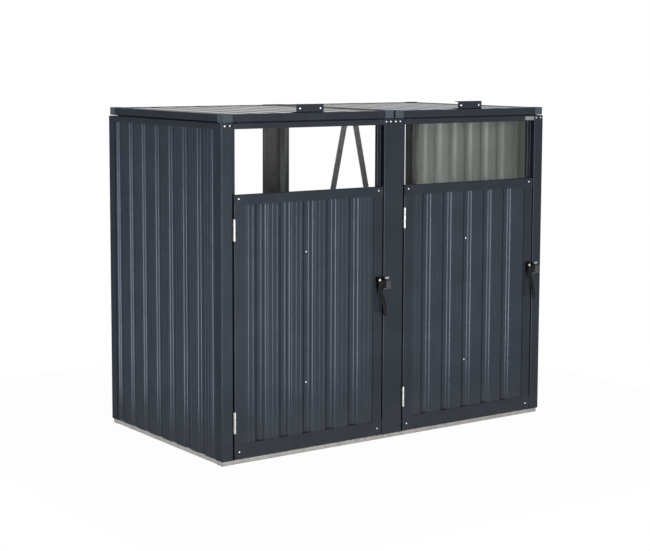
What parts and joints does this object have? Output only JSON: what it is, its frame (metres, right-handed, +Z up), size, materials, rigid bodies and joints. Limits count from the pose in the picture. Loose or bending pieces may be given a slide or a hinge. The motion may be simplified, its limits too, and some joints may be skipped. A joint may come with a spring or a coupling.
{
  "type": "wheelie bin store",
  "caption": "Ribbed sheet steel store for wheelie bins, with side-hinged front doors closed by lever latches, rear-hinged lift-up lids and an open braced back.",
  "frame": {"origin": "ground level, middle of the whole outline seen from above", "axes": "+X to the right seen from the front, +Y from front to rear, +Z up"},
  "size_m": [1.58, 0.9076, 1.328],
  "materials": {
    "anthracite_paint": "satin powder coat",
    "blue_grey_paint": "satin powder coat",
    "black_paint": "satin powder coat",
    "galvanised_steel": "dull galvanised",
    "zinc_plate": "bright zinc plated",
    "plain_plate": "plain satin",
    "rubber_pad": "matte"
  },
  "bodies": {
    "frame": {"base_rail_front": "galvanised_steel", "base_rail_rear": "galvanised_steel", "base_rail_left": "galvanised_steel", "base_rail_right": "galvanised_steel", "rear_braces_left": "galvanised_steel", "rear_braces_right": "galvanised_steel", "post_front_left": "anthracite_paint", "post_front_middle": "anthracite_paint", "post_front_right": "anthracite_paint", "post_rear_left": "anthracite_paint", "post_rear_middle": "anthracite_paint", "post_rear_right": "anthracite_paint", "top_rails_front": "anthracite_paint", "top_rails_rear": "anthracite_paint", "top_rail_left": "anthracite_paint", "top_rail_right": "anthracite_paint", "top_tie": "anthracite_paint", "wall_left": "anthracite_paint", "wall_right": "anthracite_paint", "door_hinge_leaves_fixed": "zinc_plate", "lid_hinge_leaves_fixed": "zinc_plate", "latch_keepers": "zinc_plate", "blank_plate": "plain_plate"},
    "door_left": {"door_rail_top_left": "anthracite_paint", "door_rail_bottom_left": "anthracite_paint", "door_stiles_left": "anthracite_paint", "door_sheet_left": "anthracite_paint", "door_inner_rails_left": "anthracite_paint", "door_hinge_leaves_left": "zinc_plate", "latch_base_left": "black_paint", "latch_pivot_left": "zinc_plate"},
    "latch_left": {"latch_lever_left": "black_paint"},
    "lid_left": {"lid_rail_front_left": "anthracite_paint", "lid_rail_rear_left": "anthracite_paint", "lid_side_rails_left": "anthracite_paint", "lid_sheet_left": "anthracite_paint", "lid_handle_left": "anthracite_paint", "lid_corner_caps_left": "blue_grey_paint", "lid_hinge_leaves_left": "zinc_plate", "lid_buffers_left": "rubber_pad"},
    "door_right": {"door_rail_top_right": "anthracite_paint", "door_rail_bottom_right": "anthracite_paint", "door_stiles_right": "anthracite_paint", "door_sheet_right": "anthracite_paint", "door_inner_rails_right": "anthracite_paint", "door_hinge_leaves_right": "zinc_plate", "latch_base_right": "black_paint", "latch_pivot_right": "zinc_plate"},
    "latch_right": {"latch_lever_right": "black_paint"},
    "lid_right": {"lid_rail_front_right": "anthracite_paint", "lid_rail_rear_right": "anthracite_paint", "lid_side_rails_right": "anthracite_paint", "lid_sheet_right": "anthracite_paint", "lid_handle_right": "anthracite_paint", "lid_corner_caps_right": "blue_grey_paint", "lid_hinge_leaves_right": "zinc_plate", "lid_buffers_right": "rubber_pad"}
  },
  "joints": [
    {"name": "door_left_hinge", "type": "hinge", "parent": "frame", "child": "door_left", "pos_m": [-0.739, -0.42675, 0.5175], "axis": [0, 0, -1], "range_deg": [0, 110]},
    {"name": "latch_left_pivot", "type": "hinge", "parent": "door_left", "child": "latch_left", "pos_m": [-0.075, -0.42875, 0.639], "axis": [0, -1, 0], "range_deg": [-75, 9]},
    {"name": "lid_left_hinge", "type": "hinge", "parent": "frame", "child": "lid_left", "pos_m": [-0.3935, 0.44825, 1.2655], "axis": [-1, 0, 0], "range_deg": [0, 100]},
    {"name": "door_right_hinge", "type": "hinge", "parent": "frame", "child": "door_right", "pos_m": [0.051, -0.42675, 0.5175], "axis": [0, 0, -1], "range_deg": [0, 110]},
    {"name": "latch_right_pivot", "type": "hinge", "parent": "door_right", "child": "latch_right", "pos_m": [0.715, -0.42875, 0.639], "axis": [0, -1, 0], "range_deg": [-75, 9]},
    {"name": "lid_right_hinge", "type": "hinge", "parent": "frame", "child": "lid_right", "pos_m": [0.3935, 0.44825, 1.2655], "axis": [-1, 0, 0], "range_deg": [0, 100]}
  ]
}
